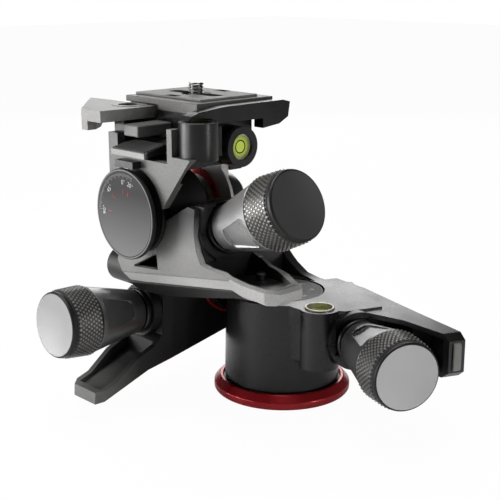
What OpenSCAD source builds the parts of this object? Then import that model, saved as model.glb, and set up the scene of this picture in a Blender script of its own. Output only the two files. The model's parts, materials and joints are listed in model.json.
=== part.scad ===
// Geared tripod head: a fixed base, a panning body, a front-tilting body and a side-tilting top.
// Each of the three axes has a fixed worm wheel, and a worm on a knob that walks round it.
// Millimetres. Origin: centre of the base's underside, +Z up. -Y is the dial side, +X the side knob.

/* [Base] */
// radius of the red base ring
base_r = 30; // [29:0.5:34]
// height of the base ring
base_h = 6; // [5:0.5:6]
// wall radius of the tripod thread
thread_r = 4; // [3:0.5:4.5]
// depth of the tripod thread
thread_l = 10; // [8:1:11]

/* [Pan body] */
// radius of the pan drum
drum_r = 25; // [24:0.5:26]
// height of the pan deck above the base
deck_z = 44.5; // [44:0.5:48]
// radius of the pan degree disc
pan_dial_r = 18; // [15:0.5:18.5]

/* [Tilt axes] */
// front tilt axis, along X: its Y
t1_y = -4; // [-5:0.5:-3]
// front tilt axis: its Z
t1_z = 51; // [50:0.5:52]
// side tilt axis, along Y: its X
t2_x = -21.4; // [-22:0.1:-21]
// side tilt axis: its Z
t2_z = 84.9; // [84.5:0.1:86]
// radius of the tilt degree discs
dial_r = 18.3; // [16:0.1:18.5]

/* [Worm drives] */
// distance between a worm and its wheel's axis
worm_gap = 17; // [16.9:0.05:17.2]
// tip radius of a worm wheel
wheel_r = 11.9; // [11.5:0.05:11.9]
// teeth on a worm wheel
wheel_teeth = 48; // [40:1:60]
// tip radius of a worm
worm_r = 4.9; // [4.6:0.05:4.9]
// radius of a knob's stem
stem_r = 4; // [3.6:0.1:4]

/* [Knobs] */
// radius of a knob's cap
cap_r = 13.6; // [13:0.1:13.9]
// largest radius of the knurled band
grip_r = 14.5; // [14.2:0.1:14.8]
// radius of a release sleeve's neck
neck_r = 9.3; // [9:0.1:9.5]
// length of a knob from cap to neck
knob_l = 40.5; // [38:0.5:42]
// front tilt knob: rise of its axis in degrees
l_el = 3.9; // [3:0.1:4.5]
// front tilt knob: X of its axis
l_x = -38.1; // [-38.6:0.1:-37.8]
// front tilt knob: its cap's distance from the worm wheel's foot
l_len = 87.6; // [84:0.2:90]
// side tilt knob: rise of its axis in degrees
m_el = 22.5; // [22:0.1:23]
// side tilt knob: Y of its axis
m_y = -44.3; // [-44.5:0.1:-44]
// side tilt knob: its cap's distance from the worm wheel's foot
m_len = 72; // [70:0.2:74]
// pan knob: turn of its axis from X, in degrees
p_az = -23.9; // [-25:0.1:-23]
// pan knob: height of its axis
p_z = 32.1; // [31.5:0.1:32.6]
// pan knob: its cap's distance from the worm wheel's foot
p_len = 84.2; // [82:0.2:88]

/* [Top] */
// height of the mounting face
top_z = 130; // [129.5:0.5:131]
// camera plate length along X
plate_x = 45; // [44:0.5:46]
// camera plate width along Y
plate_y = 41; // [40:0.5:42]
// radius of the camera screw
screw_r = 3.175; // [3.1:0.005:3.2]
// height of the camera screw above the pad
screw_h = 4.6; // [4:0.1:8]
// inside radius of the level tubes
vial_r = 5.2; // [4.8:0.1:5.4]

/* [Hidden] */
$fn = 64;
e = 0.01;
run = 0.06;
gap = 0.4;
l_neck = l_len - knob_l;
m_neck = m_len - knob_l;
p_neck = p_len - knob_l;
chamber_r = wheel_r + 0.5;
bush_r = stem_r + 3;
wheel_w = 8;
m_foot_x = t2_x + worm_gap * sin(m_el);
m_foot_z = t2_z - worm_gap * cos(m_el);
plate_cx = -21.1;
plate_cy = -30;
lever_x = -34;
lever_y = -54.6;
arm_y0 = -25.5;
arm_up = 2.2;

// ---------- frames of the three worm drives: +Z along the knob, +Y towards the wheel ----------
module at_l() translate([l_x, t1_y - worm_gap * sin(l_el), t1_z - worm_gap * cos(l_el)])
  rotate([90 - l_el, 0, 0]) children();
module at_m() translate([m_foot_x, m_y, m_foot_z])
  rotate([0, 90 - m_el, 0]) rotate([0, 0, 90]) children();
module at_p() translate([-worm_gap * sin(p_az), worm_gap * cos(p_az), p_z])
  rotate([0, 0, p_az]) rotate([0, 90, 0]) rotate([0, 0, 180]) children();
module at_t1(x) translate([x, t1_y, t1_z]) rotate([0, 90, 0]) children();
module at_t2(y) translate([t2_x, y, t2_z]) rotate([-90, 0, 0]) children();

// ---------- parts used on every axis ----------
module tube(ro, ri, h) difference() {
  cylinder(r = ro, h = h);
  translate([0, 0, -1]) cylinder(r = ri, h = h + 2);
}

module worm(len) {
  difference() {
    union() {
      translate([0, 0, -12]) cylinder(r = stem_r, h = len - 4 + 12);
      translate([0, 0, -8.5]) cylinder(r = worm_r, h = 17);
    }
    for (k = [-5 : 5]) translate([0, 0, 1.55 * k - 0.4]) tube(worm_r + 1, stem_r - 0.3, 0.8);
  }
}

module worm_wheel(bore) difference() {
  translate([0, 0, -wheel_w / 2]) cylinder(r = wheel_r, h = wheel_w);
  for (k = [0 : wheel_teeth - 1]) rotate([0, 0, 360 / wheel_teeth * k])
    translate([wheel_r - 0.75, -0.35, -wheel_w / 2 - 1]) cube([1, 0.7, wheel_w + 2]);
  rotate_extrude() translate([worm_gap, 0]) circle(r = worm_r + 0.25);
  translate([0, 0, -wheel_w]) cylinder(r = bore, h = 2 * wheel_w);
}

module grip(len) translate([0, 0, len]) difference() {
  rotate_extrude() polygon([[stem_r, -14], [grip_r - 0.3, -14.4], [grip_r, -13.2],
    [cap_r + 0.3, -3.1], [cap_r - 1.2, -3.1], [cap_r - 1.2, -4], [stem_r, -4]]);
  translate([0, 0, -15]) cylinder(r = 11, h = 3.5);
}

module cap(len) translate([0, 0, len]) rotate_extrude()
  polygon([[0, -1.2], [6, -0.95], [11, -0.4], [cap_r - 1, 0], [cap_r - 0.3, -0.2],
    [cap_r, -0.8], [cap_r, -2.2], [cap_r - 1.2, -2.2], [cap_r - 1.2, -4], [0, -4]]);

module oring(len) translate([0, 0, len - 3.1]) tube(cap_r + 0.05, cap_r - 1.2, 0.9);

// a cone that turns on the bush, with two finger recesses
module sleeve(len) translate([0, 0, len]) difference() {
  rotate_extrude() polygon([[bush_r + run, -14.9], [grip_r - 0.5, -14.9], [neck_r, -knob_l + 1],
    [neck_r - 0.5, -knob_l + 0.3], [bush_r + run, -knob_l + 0.3]]);
  for (s = [0, 180]) rotate([0, 0, s])
    intersection() {
      translate([0, neck_r - 0.4, -knob_l]) rotate([-8.5, 0, 0]) translate([-12, -0.9, 0])
        cube([24, 12, knob_l]);
      rotate([-90, 0, 0]) linear_extrude(20)
        polygon([[-2.8, 33], [2.8, 33], [4, 32], [6.6, 18.5], [6, 17], [-6, 17], [-6.6, 18.5],
          [-4, 32]]);
    }
  translate([0, 0, -34]) cylinder(r = bush_r + 1.6, h = 12);
}

// the return spring, drawn as closed turns on the bush
module spring(len) translate([0, 0, len]) for (k = [0 : 6])
  translate([0, 0, -33 + 1.5 * k]) tube(bush_r + 1.1, bush_r, 0.9);

// bronze bush: its nose carries the sleeve, its bore carries the stem
module bush(len, from) translate([0, 0, from]) {
  tube(bush_r, stem_r + run, len - 16 - from);
  translate([0, 0, len - knob_l - 2.2 - from]) tube(neck_r + 0.4, stem_r + run, 2);
}

// a channel arm along local Z, open towards the knob, w0 wide at its root and w1 at its tip
module arm(u0, u1, w0, w1, side) intersection() {
  rotate([90, 0, 0]) translate([0, 0, -10]) linear_extrude(60)
    polygon([[-w0 / 2, u0], [-w1 / 2, u1 - 3], [-w1 / 2 + 2.5, u1], [w1 / 2 - 2.5, u1],
      [w1 / 2, u1 - 3], [w0 / 2, u0]]);
  rotate([90, 0, -90]) translate([0, 0, -30]) linear_extrude(60) mirror([1, 0]) polygon(side);
}

// ---------- base ----------
module base_ring() color([0.55, 0.05, 0.05]) rotate_extrude($fn = 128)
  polygon([[base_r - 4, 0], [base_r - 0.6, 0], [base_r, 0.8], [base_r, base_h - 2.8],
    [base_r - 2.6, base_h], [base_r - 4, base_h]]);

module base_plate() color([0.2, 0.2, 0.2]) difference() {
  union() {
    cylinder(r = base_r - 4, h = 5, $fn = 128);
    cylinder(r = 12, h = thread_l);
  }
  translate([0, 0, -1]) cylinder(r = thread_r + 2.5, h = 20);
}

module thread_insert() color([0.7, 0.7, 0.7]) tube(thread_r + 2.5, thread_r, thread_l);

module pan_shaft() color([0.6, 0.6, 0.6]) translate([0, 0, thread_l]) {
  cylinder(r = 7, h = deck_z - 2.6 - thread_l);
  cylinder(r = 12, h = 1.6);
}

module pan_wheel() color([0.8, 0.6, 0.3]) translate([0, 0, p_z]) worm_wheel(7);

module pan_dial() color([0.1, 0.1, 0.1]) translate([0, 0, deck_z - 2.6])
  cylinder(r = pan_dial_r, h = 2.2, $fn = 96);

module slide_ring() color([0.9, 0.9, 0.85]) translate([0, 0, 5]) tube(20, 13, 7.9);

// ---------- pan body ----------
module pan_solid() {
  translate([0, 0, base_h + 0.4]) cylinder(r1 = drum_r + 0.2, r2 = drum_r - 0.4, h = deck_z - base_h - 0.4,
    $fn = 128);
  // level post
  translate([29.6, -8.2, 19.5]) cylinder(r = 8.4, h = deck_z - 19.5);
  translate([18, -15.6, 22]) cube([12, 14, deck_z - 22]);
  // worm barrel
  at_p() translate([0, 0, -15]) cylinder(r = 12.4, h = p_neck - 2.4 + 15);
  // web between the drum, the barrel and the arm
  translate([0, 0, p_z - 8]) linear_extrude(deck_z - p_z + 8)
    polygon([[0, 20], [14, 30], [46, 12], [40, -4], [30, -10], [10, -12]]);
}

module pan_arm_solid() at_p() translate([arm_up, 0, 0]) arm(-8, 76, 20, 18,
  [[9, -16], [-10, -16], [-18, 10], [-24, 48], [-29, 76], [-22, 76], [-14, 54], [-4, 40],
   [6, 32], [12, 20]]);

module upper_region() rotate([90, 0, 0]) linear_extrude(200, center = true)
  polygon([[-60, 48], [-25, 48], [-13.5, 42.4], [-9.3, 38.9], [-3.2, 36.2], [3, 34.1],
    [15.7, 32.1], [21, 31.4], [36, 31.4], [36, -10], [140, -10], [140, 90], [-60, 90]]);

module upright() intersection() {
  translate([arm_y0, -60, 30]) cube([6.5, 140, 60]);
  union() {
    at_t1(-30) cylinder(r = 20.5, h = 20, $fn = 128);
    rotate([90, 0, 90]) translate([0, 0, -30]) linear_extrude(20)
      polygon([[-14, 34], [14, 34], [26, 40], [31, 44], [27, 50], [22, 55], [18, 60], [15.5, 64], [0, 60]]);
  }
}

// fillet between the upright and the deck
module gusset() intersection() {
  translate([0, 24, 0]) rotate([90, 0, 0]) linear_extrude(4.5)
    polygon([[-20, 38], [-20, 55], [-16.8, 52], [-14.1, 49.8], [-7.4, 45.9], [2.2, 44.4], [4, 38]]);
  upper_region();
}

module pan_hollow() {
  // wheel chamber, shaft bore, dial recess, worm bore
  translate([0, 0, p_z - wheel_w / 2 - 0.4]) cylinder(r = chamber_r, h = wheel_w + 0.8);
  translate([0, 0, 0]) cylinder(r = 7 + run, h = 60);
  translate([0, 0, 0]) cylinder(r = 20.5, h = 13);
  translate([0, 0, deck_z - 3]) cylinder(r = pan_dial_r + 0.4, h = 10, $fn = 96);
  at_p() translate([0, 0, -12.5]) cylinder(r = worm_r + 0.6, h = 25);
  at_p() translate([0, 0, -13]) cylinder(r = stem_r + run, h = 30);
  at_p() translate([0, 0, 12]) cylinder(r = bush_r, h = 80);
  // level tube
  translate([29.6, -8.2, deck_z - 7]) cylinder(r = vial_r + 1, h = 10);
  // pocket round the knob's neck
  at_p() translate([0, 0, p_neck - 2.3]) cylinder(r1 = 11, r2 = 13.2, h = 8);
}

module pan_shell() color([0.1, 0.1, 0.1]) difference() {
  pan_solid();
  pan_hollow();
  upper_region();
  upright();
}

module pan_casting() color([0.12, 0.12, 0.12]) difference() {
  union() {
    intersection() {
      difference() {
        union() {
          pan_solid();
          pan_arm_solid();
        }
        // channel in the arm
        at_p() translate([arm_up, 0, 0]) intersection() {
          translate([-30, -40, p_neck - 4]) cube([60, 60, 60]);
          arm(10, 90, 16, 13, [[40, 0], [-15, 0], [-18, 30], [-26, 73.2], [0, 73.2]]);
        }
      }
      upper_region();
    }
    upright();
    gusset();
    at_p() translate([arm_up, 0, 0]) intersection() {
      translate([-9.2, -26, p_neck + 14]) cube([18.4, 10, 1]);
      arm(-8, 76, 20, 18, [[0, -16], [-10, -16], [-18, 10], [-24, 48], [-29, 76], [0, 76]]);
    }
  }
  pan_hollow();
  // keeps clear of the base
  cylinder(r = base_r + 1, h = base_h + 0.4);
  // seat of the front shaft
  at_t1(-30) cylinder(r = 4, h = 20);
}

module pan_arm_end() color([0.6, 0.6, 0.6]) at_p() translate([arm_up, -23.6, 0])
  rotate([90, 0, 0]) linear_extrude(3.6) polygon([[-6, 76], [6, 76], [5, 77], [-5, 77]]);

module pan_bush() color([0.65, 0.5, 0.3]) at_p() bush(p_len, 12);

module front_shaft() color([0.65, 0.65, 0.65]) difference() {
  at_t1(-55.4) cylinder(r = 4, h = 55.4 - 20);
}

module front_wheel() color([0.8, 0.6, 0.3]) at_t1(l_x) worm_wheel(4);

module front_dial() color([0.1, 0.1, 0.1]) at_t1(-57.4) {
  cylinder(r = dial_r, h = 2, $fn = 96);
}

module front_trim() color([0.7, 0.05, 0.05]) at_t1(arm_y0 - 0.6) tube(21.4, 18.6, 0.6);

module deck_vial() color([0.7, 0.8, 0.2]) translate([29.6, -8.2, deck_z - 7])
  cylinder(r = vial_r, h = 5);

module deck_level_rim() color([0.3, 0.3, 0.3]) translate([29.6, -8.2, deck_z - 7])
  tube(vial_r + 1, vial_r, 7.6);

module pan_worm() color([0.7, 0.7, 0.7]) at_p() worm(p_len);
module pan_grip() color([0.2, 0.2, 0.2]) at_p() grip(p_len);
module pan_cap() color([0.3, 0.3, 0.3]) at_p() cap(p_len);
module pan_oring() color([0.05, 0.05, 0.05]) at_p() oring(p_len);
module pan_sleeve() color([0.2, 0.2, 0.2]) at_p() rotate([0, 0, -65]) sleeve(p_len);
module pan_spring() color([0.7, 0.7, 0.7]) at_p() spring(p_len);

// ---------- front tilting body ----------
module left_solid() {
  at_t1(-54) cylinder(r = 17.5, h = 27.5, $fn = 96);
  at_l() translate([0, 0, -14]) cylinder(r = 11, h = l_neck - 2.4 + 14);
  // shoulder that carries the front casting
  translate([-56, -45, 54]) rotate([0, 90, 0]) cylinder(r = 7.6, h = 28);
  translate([-54, -45, 46.4]) cube([26, 41, 15.2]);
  translate([-54, -32, 34]) cube([27.5, 28, 20]);
  at_l() difference() {
    arm(-6, 72, 27, 20, [[6, -14], [-10, -14], [-11.6, 2], [-16.5, 20], [-23.7, 47],
      [-35, 72], [-30, 72], [-26.7, 63.3], [-18.4, 53.5], [-13.5, 44], [-9.2, 40.5],
      [8, 40.5], [8, 0]]);
    intersection() {
      translate([-30, -40, l_neck - 4]) cube([60, 60, 60]);
      arm(0, 90, 22, 12.5, [[30, 10], [-12, 10], [-20, 45], [-31.2, 69.5], [30, 69.5]]);
    }
  }
}

module left_casting() color([0.12, 0.12, 0.12]) difference() {
  intersection() {
    left_solid();
    translate([-57, -100, -20]) cube([30.5, 120, 100]);
  }
  at_t1(l_x - wheel_w / 2 - 0.4) cylinder(r = chamber_r, h = wheel_w + 0.8);
  at_t1(-60) cylinder(r = 4 + run, h = 60);
  at_l() translate([0, 0, -11.9]) cylinder(r = worm_r + 0.6, h = 24);
  at_l() translate([0, 0, -12.5]) cylinder(r = stem_r + run, h = 30);
  at_l() translate([0, 0, 12]) cylinder(r = bush_r, h = 80);
  at_l() translate([0, 0, l_neck - 2.3]) cylinder(r1 = 10.2, r2 = 12.4, h = 6);
}

module front_bush() color([0.65, 0.5, 0.3]) at_l() bush(l_len, 12);
module front_worm() color([0.7, 0.7, 0.7]) at_l() worm(l_len);
module front_grip() color([0.2, 0.2, 0.2]) at_l() grip(l_len);
module front_cap() color([0.3, 0.3, 0.3]) at_l() cap(l_len);
module front_oring() color([0.05, 0.05, 0.05]) at_l() oring(l_len);
module front_sleeve() color([0.2, 0.2, 0.2]) at_l() rotate([0, 0, 112]) sleeve(l_len);
module front_spring() color([0.7, 0.7, 0.7]) at_l() spring(l_len);

// outline of the arm seen from above, and the same drawn in by the cover's wall
module mid_outline(wall) linear_extrude(200)
  polygon([[-41, -53], [-28, -53], [-28, -28], [14, -28], [30, -30], [44, -34.5],
    [47.5 - wall, -37.5], [47.5 - wall, -49 + wall / 2], [44 - wall / 2, -54.2 + wall],
    [30 - wall / 4, -59.7 + wall], [-41, -59.7 + wall]]);

module mid_slab(y0, y1) translate([0, y1, 0]) rotate([90, 0, 0]) linear_extrude(y1 - y0) children();

// slanted cut below a front edge that rises to the right
module mid_bevel(y, z, angle) translate([0, y, z]) rotate([0, -8.5, 0]) rotate([angle, 0, 0])
  translate([-70, -20, -40]) cube([140, 20, 40]);

// clears the pan body's upright, and the bores of the drive
module mid_bores() {
  at_t2(m_y - wheel_w / 2 - 0.4) cylinder(r = chamber_r, h = wheel_w + 0.8);
  at_t2(-61) cylinder(r = 8 + run, h = 40);
  at_m() translate([0, 0, -12.2]) cylinder(r = worm_r + 0.6, h = 23);
  at_m() translate([0, 0, -12.6]) cylinder(r = stem_r + run, h = 20);
  at_m() translate([0, 0, 10]) cylinder(r = bush_r, h = 80);
  at_m() translate([0, 0, m_neck - 2.3]) cylinder(r1 = 10.2, r2 = 15.4, h = 20);
  at_t1(-30) cylinder(r = 21.4, h = 60);
}

// the channel along the arm, and the triangular window beside the head
module mid_openings() {
  intersection() {
    mid_slab(-56.4, -33) polygon([[14, 61], [30, 61.4], [45, 62], [60, 80], [15, 90], [16, 72]]);
    linear_extrude(200)
      polygon([[13, -31], [30, -33], [42, -37], [43.6, -45], [42, -51], [30, -56.4], [13, -57]]);
  }
  mid_slab(-61, -40) polygon([[-12.6, 71.7], [-15.5, 67.5], [-27.1, 61.4], [-26.8, 60.8], [-11.4, 62.3]]);
}

// the dark body behind the cover: head, worm barrel and channel arm
module mid_casting() color([0.12, 0.12, 0.12]) difference() {
  union() {
    intersection() {
      mid_slab(-57, -31) polygon([[-40, 61.5], [-39, 57], [-31, 47.4], [-15, 48.6], [10, 53.8],
        [27, 57.8], [40, 59.4], [46, 60], [46, 63], [44, 63.6], [36, 65.2], [27, 68.4], [19, 68.8],
        [14.8, 70.4], [13.2, 75], [12.2, 81], [12.8, 87], [14, 91.5], [7.7, 91.2], [2.9, 88.6],
        [-4.7, 84], [-28, 80]]);
      mid_outline(2.7);
    }
    at_t2(-57) cylinder(r = 15.6, h = 19.3, $fn = 96);
    at_m() translate([0, 0, -13]) cylinder(r = 13.2, h = m_neck - 2 + 13);
  }
  mid_bores();
  mid_openings();
  mid_bevel(-57, 57, 45);
  // the far lip is lower
  translate([0, -30, 0]) rotate([90, 0, 0]) linear_extrude(7.5)
    polygon([[20, 68.9], [25, 66.2], [36.4, 64], [50, 61.2], [50, 75], [20, 75]]);
}

// the light front wall: face, window frame, bevelled strip and the arm's nose
module mid_cover() color([0.5, 0.5, 0.5]) difference() {
  intersection() {
    mid_slab(-59.7, -31) polygon([[-38.4, 61.6], [-33, 53.3], [3.6, 57.3], [27, 60.6], [40, 59.4],
      [46.4, 58.4], [47.6, 60.4], [47.6, 62.6], [44, 63.6], [36, 65.2], [27, 68.6], [19, 68.8],
      [14.8, 69.6], [12.2, 73.9], [11, 80], [11, 85], [11.6, 90.7], [7.7, 91.2], [2.9, 88.6],
      [-4.7, 84], [-28, 80], [-37, 66]]);
    mid_outline(0);
  }
  mid_outline(2.7);
  at_m() translate([0, 0, -13]) cylinder(r = 13.2 + e, h = 60);
  mid_bores();
  mid_openings();
  mid_bevel(-59.7, 62.3, 31.5);
}

module mid_screw() color([0.7, 0.65, 0.55]) translate([24, -36.4, 61.3]) cylinder(r = 2, h = 2.6);

module side_bush() color([0.65, 0.5, 0.3]) at_m() bush(m_len, 10);

module side_pin() color([0.65, 0.65, 0.65]) at_t2(-62.1) cylinder(r = 3, h = 62.1 - 25.4);

module side_dial() color([0.1, 0.1, 0.1]) at_t2(-68.3) {
  cylinder(r = dial_r, h = 2, $fn = 96);
  cylinder(r = 9, h = 6.2);
}

module rear_cone() color([0.08, 0.08, 0.08]) at_t2(-25.6) difference() {
  rotate_extrude() polygon([[0, 0], [13.6, 0], [13.6, 2], [12.4, 7], [10, 13], [8, 15.6], [5, 17],
    [0, 17.4]]);
  translate([0, 0, -1]) cylinder(r = 3, h = 1.2);
}

module side_worm() color([0.7, 0.7, 0.7]) at_m() worm(m_len);
module side_grip() color([0.2, 0.2, 0.2]) at_m() grip(m_len);
module side_cap() color([0.3, 0.3, 0.3]) at_m() cap(m_len);
module side_oring() color([0.05, 0.05, 0.05]) at_m() oring(m_len);
module side_sleeve() color([0.2, 0.2, 0.2]) at_m() rotate([0, 0, 115]) sleeve(m_len);
module side_spring() color([0.7, 0.7, 0.7]) at_m() spring(m_len);

// ---------- side tilting top ----------
module side_wheel() color([0.8, 0.6, 0.3]) {
  at_t2(m_y) worm_wheel(3 + run);
  at_t2(-60.1) tube(8, 3 + run, 60.1 + m_y - wheel_w / 2);
  at_t2(m_y + wheel_w / 2) tube(8, 3 + run, -30 - m_y - wheel_w / 2);
}

module pointer_block(d) translate([t2_x - 5.75 - d, -67.8, t2_z + dial_r + 0.4 - d])
  cube([11.5 + 2 * d, 8, 2.8 + 2 * d]);

module top_wedge() color([0.5, 0.5, 0.5]) difference() {
  translate([0, -60.2, 0]) rotate([90, 0, 0]) linear_extrude(3.5)
    polygon([[-36.4, 116], [-36.4, 100], [-34.5, 92], [-10, 84], [-3.3, 88.7], [13.7, 110],
      [13.7, 110.3], [3.5, 110.3], [3.5, 120.7], [0.6, 120.7], [0.6, 107.4], [-30.4, 107.4],
      [-30.4, 116]]);
  at_t2(-65) cylinder(r = 19, h = 6, $fn = 96);
  translate([8.5, -54.5, 100]) cylinder(r = 7.7, h = 30);
  pointer_block(0);
}

module top_casting() color([0.12, 0.12, 0.12]) difference() {
  union() {
    // hub disc behind the dial, and the index over it
    at_t2(-61.6) cylinder(r = 16.4, h = 1.5, $fn = 96);
    translate([t2_x - 5.5, -61.6, 98]) cube([11, 1.8, 4.9]);
    pointer_block(0);
    translate([-37, -60.1, 104]) cube([38.5, 15, 16.6]);
    translate([-37, -50, 104]) cube([38, 30.5, 17.5]);
    translate([-43, -45, 108]) cube([8, 25.5, 13.5]);
    translate([-8, -60.1, 109]) cube([16, 18, 11.6]);
    translate([-37, -60.1, 101.5]) cube([38.5, 4, 6]);
    // level posts
    translate([8.5, -54.5, 109]) cylinder(r = 7.7, h = 14.5);
    translate([-6, -32.5, 111.5]) rotate([0, 90, 0]) cylinder(r = 8, h = 15.6);
    // web down to the rear sector
    translate([-38, -26, 99.6]) cube([33, 6.5, 10]);
  }
  at_t2(-70) cylinder(r = 3 + run, h = 70);
  translate([8.5, -54.5, 117]) cylinder(r = vial_r + e, h = 10);
  translate([3, -32.5, 111.5]) rotate([0, 90, 0]) cylinder(r = vial_r + e, h = 10);
  // bay for the safety latch, with holes for its pin
  translate([-30.4, -61, 107.4]) cube([31, 12, 20]);
  translate([-31.2, -53, 112]) rotate([0, 90, 0]) cylinder(r = 1.2, h = 34);
  // hole for the lever's pin, and room for the lever
  translate([lever_x, lever_y, 107]) cylinder(r = 2, h = 20);
}

// the light block the latch snaps under
module latch_stop() color([0.5, 0.5, 0.5]) translate([-23, -66, 116]) cube([9, 17, 4.6]);

// the sector that swings round the side axis
module rear_sector() color([0.5, 0.5, 0.5]) difference() {
  union() {
    at_t2(-30) cylinder(r1 = 22, r2 = 19, h = 4, $fn = 96);
    translate([-37, -30, 96]) cube([31, 4, 10]);
  }
  at_t2(-66) cylinder(r = 3 + run, h = 70);
  translate([-50, -40, 104]) cube([60, 30, 10]);
}

module side_trim() color([0.7, 0.05, 0.05]) at_t2(-30.6) tube(14.8, 11.5, 0.6);

// the receiver's base and its long dark flank
module receiver() color([0.12, 0.12, 0.12]) difference() {
  union() {
    translate([-43, -49, 121.5]) cube([50.4, 41, 3]);
    translate([0, 0, 0]) intersection() {
      translate([2.2, -60, 117]) cube([5.2, 56, 11]);
      rotate([90, 0, 90]) linear_extrude(40)
        polygon([[-59, 123.6], [-57, 125.4], [-53, 126.6], [-40, 127.8], [-8, 128], [-4, 127],
          [-5, 121], [-10, 118.5], [-19.3, 117.5], [-19.3, 121.5], [-46.5, 121.5], [-47, 123.9],
          [-58, 123.9]]);
    }
  }
  translate([lever_x, lever_y, 120.6]) cylinder(r = 12.5, h = 6);
  translate([8.5, -54.5, 110]) cylinder(r = 7.9, h = 13.8);
  translate([plate_cx, plate_cy, 120]) cylinder(r = 11, h = 10);
}

module camera_plate() color([0.5, 0.5, 0.5]) difference() {
  translate([plate_cx - plate_x / 2, -49, 124.5]) cube([plate_x, plate_y, 4.5]);
  translate([plate_cx, plate_cy, 120]) cylinder(r = screw_r + run, h = 20);
  translate([plate_cx, plate_cy, 124]) cylinder(r = 9, h = 2.3);
  translate([lever_x, lever_y, 120.6]) cylinder(r = 12.5, h = 6);
}

module camera_pad() color([0.15, 0.15, 0.15]) difference() {
  translate([-43.4, -44, 129]) cube([41.2, 30.8, 1]);
  translate([plate_cx, plate_cy, 120]) cylinder(r = 6, h = 20);
}

module camera_screw() color([0.7, 0.7, 0.7]) translate([plate_cx, plate_cy, 0]) {
  translate([0, 0, top_z]) cylinder(r = screw_r, h = screw_h);
  translate([0, 0, 124.2]) cylinder(r = screw_r - 0.5, h = top_z - 124.2);
  translate([0, 0, 122.2]) difference() {
    cylinder(r = 8.6, h = 2);
    translate([-9, -0.7, -1]) cube([18, 1.4, 2]);
  }
}

module front_vial() color([0.7, 0.8, 0.2]) translate([8.5, -54.5, 117])
  cylinder(r = vial_r, h = 5);

module side_vial() color([0.7, 0.8, 0.2]) translate([3, -32.5, 111.5]) rotate([0, 90, 0])
  cylinder(r = vial_r, h = 5);

// the quick-release lever: a thick wing with a lighter neck and a deep hole over its pivot
module clamp_lever() color([0.5, 0.5, 0.5]) difference() {
  union() {
    translate([0, 0, 121.6]) linear_extrude(4.6)
      polygon([[-37, -76], [-66, -51], [-56, -49.7], [-24, -49.7], [-24, -60], [-25, -75.5]]);
    translate([lever_x, lever_y, 121.6]) cylinder(r = 7, h = 4.8);
    translate([0, 0, 118]) linear_extrude(4)
      polygon([[-37, -76], [-66, -51], [-62, -49.7], [-54, -53], [-38, -66], [-33, -72],
        [-33, -76]]);
  }
  translate([lever_x, lever_y, 110]) cylinder(r = 2 + run, h = 20);
  translate([lever_x, lever_y, 123.6]) cylinder(r = 4.4, h = 4);
}

module clamp_pin() color([0.7, 0.7, 0.7]) translate([lever_x, lever_y, 0]) {
  translate([0, 0, 108]) cylinder(r = 2, h = 15.6);
}

module safety_latch() color([0.5, 0.5, 0.5]) difference() {
  union() {
    translate([-29, 0, 0]) rotate([90, 0, 90]) linear_extrude(21)
      polygon([[-68, 108.4], [-68, 110.6], [-62, 112], [-56, 113.4], [-53, 114], [-53, 110.4],
        [-56, 110.6], [-66, 108.6]]);
    translate([-29.6, -53, 112]) rotate([0, 90, 0]) cylinder(r = 2.2, h = 28);
  }
  translate([-40, -53, 112]) rotate([0, 90, 0]) cylinder(r = 1.2 + run, h = 50);
}

module latch_pin() color([0.7, 0.7, 0.7]) translate([-31.2, -53, 112]) rotate([0, 90, 0])
  cylinder(r = 1.2, h = 34);

base_ring();
base_plate();
thread_insert();
pan_shaft();
pan_wheel();
pan_dial();
slide_ring();
pan_shell();
pan_casting();
pan_arm_end();
pan_bush();
front_shaft();
front_wheel();
front_dial();
front_trim();
deck_vial();
deck_level_rim();
pan_worm();
pan_grip();
pan_cap();
pan_oring();
pan_sleeve();
pan_spring();
left_casting();
front_bush();
front_worm();
front_grip();
front_cap();
front_oring();
front_sleeve();
front_spring();
mid_casting();
mid_cover();
mid_screw();
side_bush();
side_pin();
side_dial();
rear_cone();
side_worm();
side_grip();
side_cap();
side_oring();
side_sleeve();
side_spring();
side_wheel();
top_wedge();
top_casting();
latch_stop();
rear_sector();
side_trim();
receiver();
camera_plate();
camera_pad();
camera_screw();
front_vial();
side_vial();
clamp_lever();
clamp_pin();
safety_latch();
latch_pin();
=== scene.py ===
"""Geared tripod head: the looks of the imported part, built around its frame.

Metres, in the CAD's frame. Z is up, -Y is the side dial's side, +X the side tilt knob's.
"""

import json
import math

import bmesh
import bpy
from mathutils import Matrix, Vector


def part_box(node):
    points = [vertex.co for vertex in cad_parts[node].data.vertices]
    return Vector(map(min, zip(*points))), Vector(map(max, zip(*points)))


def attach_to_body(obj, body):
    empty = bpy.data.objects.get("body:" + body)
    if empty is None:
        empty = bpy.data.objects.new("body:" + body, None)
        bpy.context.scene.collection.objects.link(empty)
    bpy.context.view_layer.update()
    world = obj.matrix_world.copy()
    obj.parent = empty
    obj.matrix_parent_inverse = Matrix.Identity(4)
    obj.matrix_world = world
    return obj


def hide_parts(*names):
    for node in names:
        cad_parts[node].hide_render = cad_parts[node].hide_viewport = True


MM = 0.001
TAU = 2 * math.pi

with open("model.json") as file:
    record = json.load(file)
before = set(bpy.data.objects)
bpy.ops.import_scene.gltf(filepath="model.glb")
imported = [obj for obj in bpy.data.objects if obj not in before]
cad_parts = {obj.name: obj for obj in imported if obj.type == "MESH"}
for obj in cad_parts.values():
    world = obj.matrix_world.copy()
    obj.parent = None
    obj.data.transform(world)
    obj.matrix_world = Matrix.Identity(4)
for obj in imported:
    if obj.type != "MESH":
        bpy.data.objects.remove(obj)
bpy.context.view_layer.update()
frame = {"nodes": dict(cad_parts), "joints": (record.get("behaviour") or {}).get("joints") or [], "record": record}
joints = {joint["name"]: joint for joint in frame["joints"]}
slot_of = {part["node"]: part["material_slot"] for part in frame["record"]["subparts"]}
body_of = {name: body for body, names in frame["record"]["behaviour"]["bodies"].items()
           for name in names}


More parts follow.
